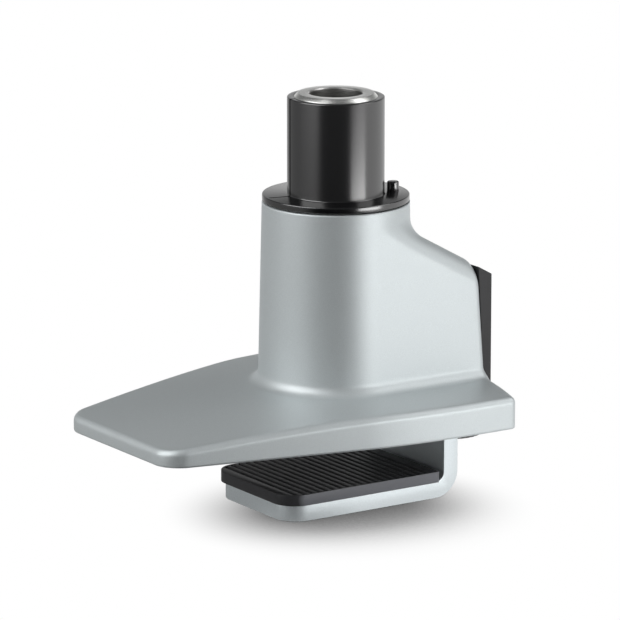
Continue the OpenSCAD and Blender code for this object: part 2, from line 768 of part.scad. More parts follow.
module bearing_plate() {
    color([0.3, 0.3, 0.32]) translate([0, 0, plate_under_z]) difference() {
        linear_extrude(plate_seat_t) difference() {
            union() {
                translate([-seat_bar_w / 2, seat_front_y])
                    square([seat_bar_w, body_len - seat_front_y - 2 * seat_gap]);
                intersection() {
                    cover_plan(seat_gap);
                    translate([-cover_half, seat_front_y]) square([2 * cover_half, cover_back_y]);
                }
            }
            translate([0, screw_y]) circle(r = bush_r);
        }
        for (side = [-1, 1]) translate([side * seat_screw_x, seat_screw_y, 0])
            countersunk(m5_r, m5_head_r, m5_head_h, plate_seat_t + cut);
    }
}

module bearing_plate_screws() {
    color([0.5, 0.5, 0.52]) at_seat_screws() countersunk(m5_r, m5_head_r, m5_head_h, m5_len);
}

module cover_block(inset, under_z) {
    difference() {
        translate([0, 0, under_z]) linear_extrude(roof_rear_h + cut) cover_plan(inset);
        above_roof(cover_roof_step + inset / cos(roof_angle));
    }
}

module rear_cover() {
    color([0.15, 0.15, 0.16]) intersection() {
        behind_rear_face(0);
        difference() {
            union() {
                difference() {
                    cover_block(0, cover_under_z);
                    cover_block(cover_wall, cover_under_z - cut);
                }
                intersection() {
                    cover_block(0, cover_under_z);
                    at_cover_screws() translate([0, 0, -cover_back_y]) cylinder(r = cover_pillar_r, h = cover_back_y);
                }
            }
            at_cover_screws() {
                translate([0, 0, -cover_back_y]) cylinder(r = cover_screw_r, h = cover_back_y + cut);
                translate([0, 0, -cover_back_y - cover_pillar_floor])
                    cylinder(r = cover_screw_head_r + seat_gap, h = cover_back_y);
            }
        }
    }
}

module rear_cover_screws() {
    color([0.4, 0.4, 0.42]) at_cover_screws() {
        translate([0, 0, -cover_pillar_floor]) cylinder(r = cover_screw_r, h = cover_pillar_floor + cover_screw_len);
        translate([0, 0, -cover_pillar_floor - cover_screw_head_h])
            cylinder(r = cover_screw_head_r, h = cover_screw_head_h);
    }
}

housing();
post();
post_washer();
post_ring_nut();
post_dowel();
desk_pad();
slip_washer();
bearing_sleeve();
stop_pin();
clamp_bracket();
jaw_pad();
pad_screws();
nut_block();
nut_block_screws();
clamp_screw();
thrust_washer();
clamp_knob();
knob_pin();
screw_clip();
screw_bush();
bearing_plate();
bearing_plate_screws();
rear_cover();
rear_cover_screws();
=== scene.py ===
"""Looks of the table clamp stand of a microscope's swing arm.

Shapes are worked out in millimetres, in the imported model's own frame, and each mesh is scaled to
metres when it is made. Sizes that a CAD node already has are read from that node's box.
"""
import json
import math

import bmesh
import bpy
import numpy as np
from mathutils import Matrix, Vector


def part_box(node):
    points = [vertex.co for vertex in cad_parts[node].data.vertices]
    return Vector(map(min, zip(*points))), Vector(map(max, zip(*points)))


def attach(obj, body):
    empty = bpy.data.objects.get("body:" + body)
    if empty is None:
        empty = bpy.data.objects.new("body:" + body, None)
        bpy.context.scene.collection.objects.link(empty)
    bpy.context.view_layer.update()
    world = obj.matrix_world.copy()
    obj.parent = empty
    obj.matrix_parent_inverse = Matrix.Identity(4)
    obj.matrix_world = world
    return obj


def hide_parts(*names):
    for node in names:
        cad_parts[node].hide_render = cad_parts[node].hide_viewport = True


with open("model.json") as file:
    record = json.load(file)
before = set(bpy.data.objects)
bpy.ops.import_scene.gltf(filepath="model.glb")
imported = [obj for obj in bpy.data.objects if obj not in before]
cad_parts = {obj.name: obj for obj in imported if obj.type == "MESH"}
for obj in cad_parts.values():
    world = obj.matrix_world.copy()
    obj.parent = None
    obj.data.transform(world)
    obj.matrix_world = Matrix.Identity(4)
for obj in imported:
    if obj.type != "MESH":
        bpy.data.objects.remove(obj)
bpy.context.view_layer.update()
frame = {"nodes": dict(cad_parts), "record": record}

MM = 0.001


def span(node):
    """Lowest and highest corner of a CAD node, in millimetres."""
    low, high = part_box(node)
    return low / MM, high / MM


# Sizes of the casting, in millimetres
NOSE_REACH = 93.2
NOSE_HALF = 34.25
PLATE_HALF = span("housing")[1].x - 0.005
KNEE = (50.1, -20.0)
SIDE_END_Y = 39.2
REAR_REACH = 50.2
REAR_ARC_R = 173.0
NOSE_CORNER_R = 8.0
REAR_CORNER_R = 1.8
PLATE_UNDER = span("housing")[0].z
NOSE_H = 6.3
SIDE_H = 12.0
LEVEL_Y = -10.0
FOOT_FRONT_H = 14.8
FOOT_REAR_H = 13.6
FOOT_FRONT_Y = -28.4
FOOT_REAR_Y = 47.0
CREST_ROUND = 3.0
EDGE_ROUND = 2.4
UNDER_ROUND = 0.7
TOWER_H = span("housing")[1].z
TOWER_TOP_R = 26.6
TOWER_EDGE_R = 0.5
DRAFT = math.radians(1.3)
BODY_LEN = 47.8
REAR_DRAFT = math.radians(3.6)
ROOF_REAR_H = 53.2
ROOF_ANGLE = math.radians(29)
ROOF_ROUND = 7.5
ROOF_FILLET = 4.5
REAR_EDGE_R = 2.5
FOOT_ROUND = 4.0

# The casting's skin is traced at this many turns round the post, in this many rings, as far in as the hub
SKIN_TURNS = 432
SKIN_RINGS = 132
HUB_R = 6.0

# Sizes of the seats cut into the casting, in millimetres
SEAT_GAP = 0.3
CLOSE_GAP = 0.2
LEG_HALF = 24.0
NUT_ROOM_HALF = 15.5
PAD_INSET = 5.7
PAD_CORNER_R = 5.0

# Sizes of the post and the sleeve, in millimetres
POST_R = 15.0
POST_BORE_R = 9.5
POST_CHAMFER = 1.3
COLLAR_DEPTH = 3
SLEEVE_R = 17.5
SLEEVE_BORE_R = 15.05
FLANGE_THICK = 2.2
SLIT_HALF = 0.5
SLIT_TURN = math.radians(77)

# Sizes of the clamp, in millimetres
JAW_CORNER_R = 9.0
BEND_R = 9.5
LEG_REACH = 31.3
LEG_CORNER = 4.0
PAD_SCREW_HEAD_R = 3.8
RIB_PITCH = 3.1
RIB_DEPTH = 0.9
PAD_RIM = 0.6
KNOB_FLUTES = 32
KNOB_FLUTE_DEPTH = 0.55
KNOB_HOLE_R = 4

# Sizes of the rear cover, in millimetres
COVER_WALL = 2.4
COVER_SEAT = 1.0
COVER_SEAT_TOP = 30.0
COVER_SIDE_STEP = 2.4
COVER_BACK_R = 25.0
COVER_SCREW_R = 3.0
COVER_HOLE_R = 1.5
COVER_HEAD_R = 2.8
COVER_PILLAR_WALL = 0.7

# How far cutters reach past what they cut, in millimetres
OVER = 5.0
FAR_SIDE = 60.0
FAR_BACK = 90.0
FAR_UP = 150.0

# Where the photograph was taken from, in millimetres, and its focal length as a share of its width
CAMERA_DISTANCE = 1703.0
CAMERA_HEIGHT = 438.6
CAMERA_SIDE = -9.243
CAMERA_TURN = math.radians(33.5)
CAMERA_DROP = math.radians(13.215)
FOCAL_SHARE = 4850.4 / 620
SENSOR_WIDTH = 36

# The floor and the shadow on it: the floor in metres, the shadow's place in millimetres
FLOOR_HALF = 6.0
FLOOR_DROP = 0.1
FLOOR_GREY = 0.45
SHELTER_REACH = 0.06
SHADOW_POWER = 1.15
SHADOW_CENTRE = (22.0, -8.0)
SHADOW_NEAR = 20.0
SHADOW_FAR = 70.0

# The studio as the object mirrors it: dim where the photographer stood, greyer on the left
ROOM_COLOUR = (0.97, 0.99, 1, 1)
ROOM_LIGHT = 0.12
WALL_RISE = (0.03, 0.42)
FRONT_PLACES = (0.55, 0.88)
FRONT_TONES = (1.0, 0.01)
LEFT_PLACES = (-0.8, 0.0)
LEFT_TONES = (0.33, 1.0)

# Lamps: degrees to the right of the camera, then distance from the post, height of the centre,
# width and height in metres, and radiance
LAMPS = (
    ("right_softbox", 53, 0.46, 0.015, 0.3, 0.1, 5.9),
    ("right_upper_softbox", 82, 0.8, 0.62, 0.7, 0.6, 2.0),
    ("left_reflector", -64, 0.8, 0.56, 0.9, 0.9, 3.0),
    ("overhead_left", -66, 0.47, 1.3, 0.35, 0.35, 1.0),
    ("overhead_right", 105, 0.75, 1.1, 0.5, 0.5, 1.6),
)
LAMP_AIM = Vector((0, 0, 0.03))


# Helpers for meshes

def make_piece(name, points, faces):
    """A new object from points in millimetres."""
    mesh = bpy.data.meshes.new(name)
    mesh.from_pydata([tuple(p) for p in np.asarray(points, float) * MM], [], faces)
    mesh.validate()
    piece = bpy.data.objects.new(name, mesh)
    bpy.context.scene.collection.objects.link(piece)
    return piece


def bake_modifiers(piece):
    """Replaces a piece's mesh by the one that its modifiers make."""
    depsgraph = bpy.context.evaluated_depsgraph_get()
    mesh = bpy.data.meshes.new_from_object(piece.evaluated_get(depsgraph))
    piece.modifiers.clear()
    piece.data = mesh
    mesh.name = piece.name
    return piece


def boolean(piece, other, operation="DIFFERENCE"):
    """Cuts, joins or intersects a piece with another, which is used up."""
    modifier = piece.modifiers.new("boolean", "BOOLEAN")
    modifier.operation = operation
    modifier.solver = "EXACT"
    modifier.object = other
    bake_modifiers(piece)
    bpy.data.objects.remove(other)
    return piece


def bevel(piece, width, segments, angle):
    """Rounds the edges that are sharper than the angle."""
    modifier = piece.modifiers.new("bevel", "BEVEL")
    modifier.width = width * MM
    modifier.segments = segments
    modifier.limit_method = "ANGLE"
    modifier.angle_limit = math.radians(angle)
    modifier.miter_outer = "MITER_ARC"
    bake_modifiers(piece)


def shade(piece, angle):
    """Smooth shading, with edges sharper than the angle left sharp."""
    mesh = piece.data
    mesh.shade_smooth()
    mesh.set_sharp_from_angle(angle=math.radians(angle))
    return piece


def round_corners(corners, segments=6):
    """A closed 2-D outline from (a, b, radius) corners, each rounded by an arc."""
    points = []
    count = len(corners)
    for i, (a, b, radius) in enumerate(corners):
        here = np.array((a, b), float)
        if radius == 0:
            points.append(here)
            continue
        before = np.array(corners[i - 1][:2], float) - here
        after = np.array(corners[(i + 1) % count][:2], float) - here
        before /= np.linalg.norm(before)
        after /= np.linalg.norm(after)
        half = math.acos(np.clip(before @ after, -1, 1)) / 2
        middle = before + after
        centre = here + middle / np.linalg.norm(middle) * radius / math.sin(half)
        start = here + before * radius / math.tan(half) - centre
        end = here + after * radius / math.tan(half) - centre
        sweep = math.atan2(start[0] * end[1] - start[1] * end[0], start @ end)
        for k in range(segments + 1):
            t = sweep * k / segments
            turn = np.array(((math.cos(t), -math.sin(t)), (math.sin(t), math.cos(t))))
            points.append(centre + turn @ start)
    return np.array(points)


def weld(piece):
    """Joins points that lie together, such as those on a lathe's axis."""
    mesh = bmesh.new()
    mesh.from_mesh(piece.data)
    bmesh.ops.remove_doubles(mesh, verts=mesh.verts, dist=0.0005 * MM)
    bmesh.ops.recalc_face_normals(mesh, faces=mesh.faces)
    mesh.to_mesh(piece.data)
    mesh.free()
    return piece


def loft(name, rings):
    """A closed solid from rings of points, the lowest ring first."""
    rings = np.asarray(rings, float)
    levels, count = rings.shape[:2]
    faces = []
    for low in range(0, (levels - 1) * count, count):
        high = low + count
        for i in range(count):
            after = (i + 1) % count
            faces.append((low + i, low + after, high + after, high + i))
    faces.append(tuple(reversed(range(count))))
    faces.append(tuple((levels - 1) * count + i for i in range(count)))
    return weld(make_piece(name, rings.reshape(-1, 3), faces))


def prism(name, outline, low, high, axis=2):
    """An outline pushed along an axis from low to high."""
    rings = []
    for level in (low, high):
        columns = list(np.asarray(outline, float).T)
        columns.insert(axis, np.full(len(outline), float(level)))
        rings.append(np.stack(columns, axis=1))
    return loft(name, rings)


def box_piece(name, low, high):
    """A block between its lowest and highest corners."""
    outline = [(low[0], low[1]), (high[0], low[1]), (high[0], high[1]), (low[0], high[1])]
    return prism(name, outline, low[2], high[2])


def lathe(name, profile, steps, centre=(0, 0)):
    """A closed (radius, height) profile turned about an upright axis."""
    profile = np.asarray(profile, float)
    count = len(profile)
    turn = np.linspace(0, 2 * math.pi, steps, endpoint=False)
    x = centre[0] + np.outer(np.cos(turn), profile[:, 0])
    y = centre[1] + np.outer(np.sin(turn), profile[:, 0])
    z = np.broadcast_to(profile[:, 1], x.shape)
    faces = []
    for i in range(steps):
        here = i * count
        there = (i + 1) % steps * count
        for k in range(count):
            after = (k + 1) % count
            faces.append((here + k, there + k, there + after, here + after))
    return weld(make_piece(name, np.stack((x, y, z), axis=2).reshape(-1, 3), faces))


def rod_along_y(name, x, z, radius, low, high):
    """A round rod along Y."""
    turn = np.linspace(0, -2 * math.pi, 40, endpoint=False)
    outline = np.stack((x + radius * np.cos(turn), z + radius * np.sin(turn)), axis=1)
    return prism(name, outline, low, high, axis=1)


# The casting, as a distance field whose zero surface is its skin

def round_max(a, b, radius):
    """What two solids share, with the edge rounded."""
    corner = np.hypot(np.maximum(a + radius, 0), np.maximum(b + radius, 0))
    return np.minimum(np.maximum(a, b), -radius) + corner


def round_min(a, b, radius):
    """Two solids together, with a fillet where they meet."""
    corner = np.hypot(np.maximum(radius - a, 0), np.maximum(radius - b, 0))
    return np.maximum(np.minimum(a, b), radius) - corner


def half_width(y):
    """Half the plate's width along Y: straight from the nose, then one long bend."""
    slope = (KNEE[0] - NOSE_HALF) / (KNEE[1] + NOSE_REACH)
    bend_y = KNEE[1] + (PLATE_HALF - KNEE[0]) / slope
    square = KNEE[1] - 2 * bend_y + SIDE_END_Y
    linear = 2 * (bend_y - KNEE[1])
    inside = np.clip(y, KNEE[1], SIDE_END_Y)
    t = (np.sqrt(linear ** 2 + 4 * square * (inside - KNEE[1])) - linear) / (2 * square)
    bent = PLATE_HALF - (PLATE_HALF - KNEE[0]) * (1 - t) ** 2
    return bent + slope * np.minimum(y - KNEE[1], 0)


def edge_height(y):
    """Height of the plate's edge: level at the sides, then falling faster and faster to the nose."""
    share = np.clip((LEVEL_Y - y) / (NOSE_REACH + LEVEL_Y), 0, 1)
    return SIDE_H - (SIDE_H - NOSE_H) * share ** 1.5


def crest_height(y):
    """Height of the plate's top along its middle, as if nothing stood on it."""
    front = NOSE_H + (FOOT_FRONT_H - NOSE_H) * (y + NOSE_REACH) / (FOOT_FRONT_Y + NOSE_REACH)
    fall = (FOOT_REAR_H - FOOT_FRONT_H) / (FOOT_REAR_Y - FOOT_FRONT_Y)
    rear = FOOT_FRONT_H + fall * (y - FOOT_FRONT_Y)
    return (front + rear - np.sqrt((front - rear) ** 2 + CREST_ROUND ** 2)) / 2


def plate_height(x, y):
    """Height of the plate's top, crowned from edge to edge."""
    share = np.clip(1 - (x / half_width(y)) ** 2, 0, 1)
    crown = np.maximum(crest_height(y) - edge_height(y), 0)
    return edge_height(y) + crown * share


def casting(x, y, z):
    """Distance to the casting's skin, less than zero inside it."""
    side_lean = 0.98
    side = (np.abs(x) - half_width(y)) * side_lean
    rear = np.hypot(x, y - REAR_REACH + REAR_ARC_R) - REAR_ARC_R
    plan = round_max(side, -y - NOSE_REACH, NOSE_CORNER_R)
    plan = round_max(plan, rear, REAR_CORNER_R)
    plate = round_max(plan, z - plate_height(x, y), EDGE_ROUND)

    wall_r = TOWER_TOP_R + (TOWER_H - z) * math.tan(DRAFT)
    round_wall = (np.hypot(x, y) - wall_r) * math.cos(DRAFT)
    tower = round_max(round_wall, z - TOWER_H, TOWER_EDGE_R)
    flank = (np.abs(x) - wall_r) * math.cos(DRAFT)
    roof = (z - ROOF_REAR_H - (BODY_LEN - y) * math.tan(ROOF_ANGLE)) * math.cos(ROOF_ANGLE)
    back = (y - BODY_LEN + z * math.tan(REAR_DRAFT)) * math.cos(REAR_DRAFT)
    body = round_max(flank, round_min(roof, round_wall, ROOF_FILLET), ROOF_ROUND)
    body = round_max(body, back, REAR_EDGE_R)
    body = np.maximum(np.maximum(body, -y), z - TOWER_H)

    skin = round_min(plate, np.minimum(tower, body), FOOT_ROUND)
    return round_max(skin, PLATE_UNDER - z, UNDER_ROUND)


def running_mean(values, window):
    """Each value's mean with its neighbours."""
    return np.convolve(values, np.full(window, 1 / window), mode="same")


def even_turns(count, spacing=2.4, bend_step=math.radians(7)):
    """Directions round the post, closer together where the casting's outlines turn or lie far out.

    The outlines are the plate's and, higher up, the one of the tower and body. Each is found by
    halving the gap between a place inside the casting and one outside.
    """
    turn = np.radians(np.linspace(-90, 270, 3601))
    window = 41
    margin = window // 2
    weight = np.zeros(len(turn) - 1)
    for z in (PLATE_UNDER + 3, (TOWER_H + PLATE_UNDER) / 2.4):
        near = np.full(len(turn), TOWER_TOP_R - 2)
        far = np.full(len(turn), 2 * NOSE_REACH)
        for _ in range(40):
            middle = (near + far) / 2
            inside = casting(middle * np.cos(turn), middle * np.sin(turn), np.full(len(turn), z)) < 0
            near = np.where(inside, middle, near)
            far = np.where(inside, far, middle)
        points = near[:, None] * np.stack((np.cos(turn), np.sin(turn)), axis=1)
        steps = np.diff(points, axis=0)
        heading = np.unwrap(np.arctan2(steps[:, 1], steps[:, 0]))
        bend = np.pad(np.abs(np.gradient(heading)), margin, mode="wrap")
        bend = running_mean(bend, window)[margin:-margin]
        weight += np.linalg.norm(steps, axis=1) / spacing + bend / bend_step
    total = np.concatenate(([0], np.cumsum(weight)))
    places = np.linspace(0, total[-1], count, endpoint=False)
    return np.interp(places, total, turn)


def trace_casting(turn, hub_r, step=0.35, most_steps=1200):
    """Follows the casting's skin from under the plate, over its edge and up to the tower's top."""
    cos, sin = np.cos(turn), np.sin(turn)
    r = np.full(len(turn), hub_r)
    z = np.full(len(turn), PLATE_UNDER)

    def field(r, z):
        return casting(r * cos, r * sin, z)

    def slope(r, z, near=0.02):
        across = (field(r + near, z) - field(r - near, z)) / (2 * near)
        up = (field(r, z + near) - field(r, z - near)) / (2 * near)
        return across, up

    path = [(r, z)]
    for _ in range(most_steps):
        across, up = slope(r, z)
        size = np.hypot(across, up)
        done = (r <= hub_r) & (z > TOWER_H / 2)
        if done.all():
            break
        r_next = r - step * up / size
        z_next = z + step * across / size
        across, up = slope(r_next, z_next)
        size = across ** 2 + up ** 2
        miss = field(r_next, z_next) / size
        miss *= np.minimum(1, step / (np.abs(miss) * np.sqrt(size) + 1e-9))
        r = np.where(done, r, np.maximum(r_next - miss * across, hub_r * (z > TOWER_H / 2)))
        z = np.where(done, z, z_next - miss * up)
        path.append((r, z))
    return np.array(path)


def casting_rings(turn, hub_r, levels, spacing=3.2, bend_step=math.radians(9)):
    """Rings round the casting, closer together where its skin bends."""
    path = trace_casting(turn, hub_r)
    rings = np.zeros((levels, len(turn), 3))
    for i in range(len(turn)):
        r, z = path[:, 0, i], path[:, 1, i]
        length = np.hypot(np.diff(r), np.diff(z))
        moving = length > 1e-6
        heading = np.unwrap(np.arctan2(np.diff(z)[moving], np.diff(r)[moving]))
        bend = running_mean(np.abs(np.gradient(heading)), 7)
        weight = length[moving] / spacing + bend / bend_step
        total = np.concatenate(([0], np.cumsum(weight)))
        places = np.linspace(0, total[-1], levels)
        kept_r = np.concatenate((r[:-1][moving], r[-1:]))
        kept_z = np.concatenate((z[:-1][moving], z[-1:]))
        ring_r = np.interp(places, total, kept_r)
        rings[:, i, 0] = ring_r * math.cos(turn[i])
        rings[:, i, 1] = ring_r * math.sin(turn[i])
        rings[:, i, 2] = np.interp(places, total, kept_z)
    return rings


def pad_outline(rear_y):
    """The rubber pad's outline: the plate's own, moved in and cut off before the leg."""
    ys = np.linspace(-NOSE_REACH + PAD_INSET, rear_y, 40)
    right = [(half_width(y) - PAD_INSET, y) for y in ys]
    half = right[0][0]
    nose = round_corners([(-half, ys[0], PAD_CORNER_R), (half, ys[0], PAD_CORNER_R), (0, 0, 0)])[:-1]
    past_corner = right[4:]
    return list(nose) + past_corner + [(-x, y) for x, y in reversed(past_corner)]


def make_housing():
    """The casting's skin, with the seats of all that it carries cut into it."""
    housing = loft("housing_skin", casting_rings(even_turns(SKIN_TURNS), HUB_R, SKIN_RINGS))
    leg_y = span("clamp_bracket")[1].y
    plate_low, plate_high = span("bearing_plate")
    collar_r = span("post")[1].x
    collar_z = TOWER_H - COLLAR_DEPTH
    pocket_r = span("post_ring_nut")[1].x + 1.0
    pocket_z = span("post_washer")[1].z
    channel_z = span("screw_clip")[1].z + 2.4
    post_seat = [
        (0, -OVER), (pocket_r, -OVER), (pocket_r, pocket_z), (POST_R, pocket_z),
        (POST_R, collar_z), (collar_r, collar_z), (collar_r, TOWER_H + OVER), (0, TOWER_H + OVER),
    ]
    boolean(housing, lathe("cutter", post_seat, steps=128))
    leg_half = LEG_HALF + SEAT_GAP
    blocks = (
        ((-leg_half, LEG_REACH - SEAT_GAP, -OVER), (leg_half, leg_y + SEAT_GAP, channel_z)),
        ((-NUT_ROOM_HALF, leg_y, -OVER), (NUT_ROOM_HALF, FAR_BACK, channel_z)),
        ((plate_low.x - CLOSE_GAP, plate_low.y - CLOSE_GAP, -OVER),
         (plate_high.x + CLOSE_GAP, BODY_LEN, plate_high.z)),
    )
    for low, high in blocks:
        boolean(housing, box_piece("cutter", low, high))
    notch_half = span("rear_cover")[1].x + CLOSE_GAP
    seat_y = BODY_LEN - COVER_SEAT
    cover_seat = [
        (seat_y + OVER * math.tan(REAR_DRAFT), -OVER), (FAR_BACK, -OVER), (FAR_BACK, COVER_SEAT_TOP),
        (seat_y - COVER_SEAT_TOP * math.tan(REAR_DRAFT), COVER_SEAT_TOP),
    ]
    boolean(housing, prism("cutter", cover_seat, -notch_half, notch_half, axis=0))
    pad_high = span("desk_pad")[1]
    boolean(housing, prism("cutter", pad_outline(pad_high.y + SEAT_GAP), -OVER, pad_high.z))
    shade(housing, angle=32)
    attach(housing, "base")
    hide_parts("housing")
    return housing


# Post, sleeve and stop pin, each turned from (radius, height, rounding) corners

def make_post():
    low, high = span("post")
    collar_z = TOWER_H - COLLAR_DEPTH
    mouth = 0.5
    profile = round_corners([
        (POST_BORE_R, low.z, 0.2), (POST_R, low.z, 0.3), (POST_R, collar_z, 0.2), (high.x, collar_z, 0.2),
        (high.x, TOWER_H, 0.2), (POST_R, TOWER_H, 0.2), (POST_R, high.z - POST_CHAMFER, 0.15),
        (POST_R - POST_CHAMFER, high.z, 0.2), (POST_BORE_R + mouth, high.z, 0.12),
        (POST_BORE_R, high.z - mouth, 0.12),
    ], 3)
    post = shade(lathe("steel_post", profile, steps=256), angle=30)
    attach(post, "base")
    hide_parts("post")
    return post


def make_sleeve():
    low, high = span("bearing_sleeve")
    flange_top = low.z + FLANGE_THICK
    profile = round_corners([
        (SLEEVE_BORE_R, low.z, 0.2), (high.x, low.z, 0.25), (high.x, flange_top, 0.35),
        (SLEEVE_R, flange_top, 0.4), (SLEEVE_R, high.z, 0.35), (SLEEVE_BORE_R, high.z, 0.25),
    ], 4)
    sleeve = lathe("slit_sleeve", profile, steps=256)
    flange_rim = 1
    in_bore = 12
    slit_low = (-high.x + flange_rim, -SLIT_HALF, low.z - OVER)
    slit = box_piece("cutter", slit_low, (-in_bore, SLIT_HALF, high.z + OVER))
    slit.rotation_euler = (0, 0, SLIT_TURN)
    bpy.context.view_layer.update()
    boolean(sleeve, slit)
    shade(sleeve, angle=30)
    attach(sleeve, "sleeve")
    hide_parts("bearing_sleeve")
    return sleeve


def make_stop_pin():
    low, high = span("stop_pin")
    radius = (high.x - low.x) / 2
    centre = ((low.x + high.x) / 2, (low.y + high.y) / 2)
    profile = round_corners([(0, low.z, 0), (radius, low.z, 0.2), (radius, high.z, 0.5), (0, high.z, 0)], 5)
    pin = shade(lathe("flange_stop_pin", profile, steps=64, centre=centre), angle=30)
    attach(pin, "sleeve")
    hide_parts("stop_pin")
    return pin


# Clamp bracket, its pad and the knob

def jaw_outline(half, front, rear, corner):
    """The jaw seen from above, with its two front corners rounded."""
    corners = [(-half, front, corner), (half, front, corner), (half, rear, 0), (-half, rear, 0)]
    return round_corners(corners, 12)


def screw_places():
    """Where the pad's two screws stand along Y."""
    low, high = span("pad_screws")
    return low.y + PAD_SCREW_HEAD_R, high.y - PAD_SCREW_HEAD_R


def make_bracket():
    """The bent bar, its leg's top corners cut off and its screw holes countersunk from below."""
    low, high = span("clamp_bracket")
    thick = high.y - LEG_REACH
    jaw_top = low.z + thick
    side = round_corners([
        (low.y, low.z, 0), (high.y, low.z, BEND_R), (high.y, high.z, 0), (LEG_REACH, high.z, 0),
        (LEG_REACH, jaw_top, BEND_R - thick), (low.y, jaw_top, 0),
    ], 16)
    bracket = prism("bent_bracket", side, low.x, high.x, axis=0)
    plan = jaw_outline(high.x, low.y, high.y + OVER, JAW_CORNER_R)
    boolean(bracket, prism("cutter", plan, low.z - OVER, high.z + OVER), "INTERSECT")
    for sign in (-1, 1):
        x = sign * high.x
        tip = [
            (x - sign * LEG_CORNER, high.z), (x - sign * LEG_CORNER, high.z + 1), (x + sign, high.z + 1),
            (x + sign, high.z - LEG_CORNER), (x, high.z - LEG_CORNER),
        ]
        boolean(bracket, prism("cutter", tip, LEG_REACH - 1, high.y + 1, axis=1))
    mouth_r = 4.8
    hole_r = 2.1
    hole_z = low.z + 2.1
    for y in screw_places():
        cone = [
            (0, low.z - 1), (mouth_r, low.z - 1), (hole_r, hole_z), (hole_r, jaw_top + 1), (0, jaw_top + 1),
        ]
        boolean(bracket, lathe("cutter", cone, steps=48, centre=(0, y)))
    bevel(bracket, 0.55, segments=3, angle=40)
    shade(bracket, angle=35)
    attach(bracket, "jaw")
    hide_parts("clamp_bracket")
    return bracket


def make_jaw_pad():
    """The jaw's pad, grooved across inside a narrow rim."""
    low, high = span("jaw_pad")
    plan = jaw_outline(high.x, low.y, high.y + OVER, JAW_CORNER_R)
    rim = jaw_outline(high.x - PAD_RIM, low.y + PAD_RIM, high.y + OVER, JAW_CORNER_R - PAD_RIM)
    pad = prism("ribbed_pad", plan, low.z, high.z)
    behind = (-FAR_SIDE, high.y, low.z - OVER)
    boolean(pad, box_piece("cutter", behind, (FAR_SIDE, high.y + 20, high.z + OVER)))
    base = high.z - RIB_DEPTH
    flank = [(0, high.z + 1), (0.06, high.z - 0.1), (0.25, base + 0.1), (0.4, base)]
    first = low.y + 1.25 * RIB_PITCH
    count = int((high.y - low.y - 2 * RIB_PITCH) / RIB_PITCH)
    comb = [(first - RIB_PITCH, high.z + 2)]
    for i in range(count):
        start = first + i * RIB_PITCH
        end = start + RIB_PITCH / 2
        comb += [(start + along, z) for along, z in flank]
        comb += [(end - along, z) for along, z in reversed(flank)]
    comb.append((comb[-1][0] + RIB_PITCH, high.z + 2))
    comb.reverse()
    grooves = prism("cutter", comb, -FAR_SIDE, FAR_SIDE, axis=0)
    boolean(grooves, prism("rim", rim, low.z, high.z + 10), "INTERSECT")
    boolean(pad, grooves)
    bevel(pad, 0.22, segments=2, angle=50)
    shade(pad, angle=40)
    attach(pad, "jaw")
    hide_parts("jaw_pad")
    return pad


def make_knob():
    """The fluted knob, lofted from rings that draw in and lose their flutes towards each end."""
    low, high = span("clamp_knob")
    centre_y = (low.y + high.y) / 2
    radius = (high.y - low.y) / 2
    steps = KNOB_FLUTES * 10
    turn = np.linspace(0, 2 * math.pi, steps, endpoint=False)
    wave = (0.5 - 0.5 * np.cos(KNOB_FLUTES * turn)) ** 2.5
    # Distance from the end face, inset of the rim, share of the flutes' depth
    end = ((0, 3.2, 0), (0, 2.4, 0), (0.15, 1.6, 0.2), (0.6, 0.7, 0.7), (1.2, 0.15, 1), (1.8, 0, 1))
    levels = [(low.z + along, inset, flute) for along, inset, flute in end]
    levels += [(high.z - along, inset, flute) for along, inset, flute in reversed(end)]
    rings = []
    for z, inset, flute in levels:
        r = radius - inset - KNOB_FLUTE_DEPTH * flute * wave
        rings.append(np.stack((r * np.cos(turn), centre_y + r * np.sin(turn), np.full(steps, z)), axis=1))
    knob = loft("fluted_knob", rings)
    hole = [(0, low.z - 1), (KNOB_HOLE_R, low.z - 1), (KNOB_HOLE_R, high.z + 1), (0, high.z + 1)]
    boolean(knob, lathe("cutter", hole, steps=64, centre=(0, centre_y)))
    shade(knob, angle=40)
    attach(knob, "screw")
    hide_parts("clamp_knob")
    return knob


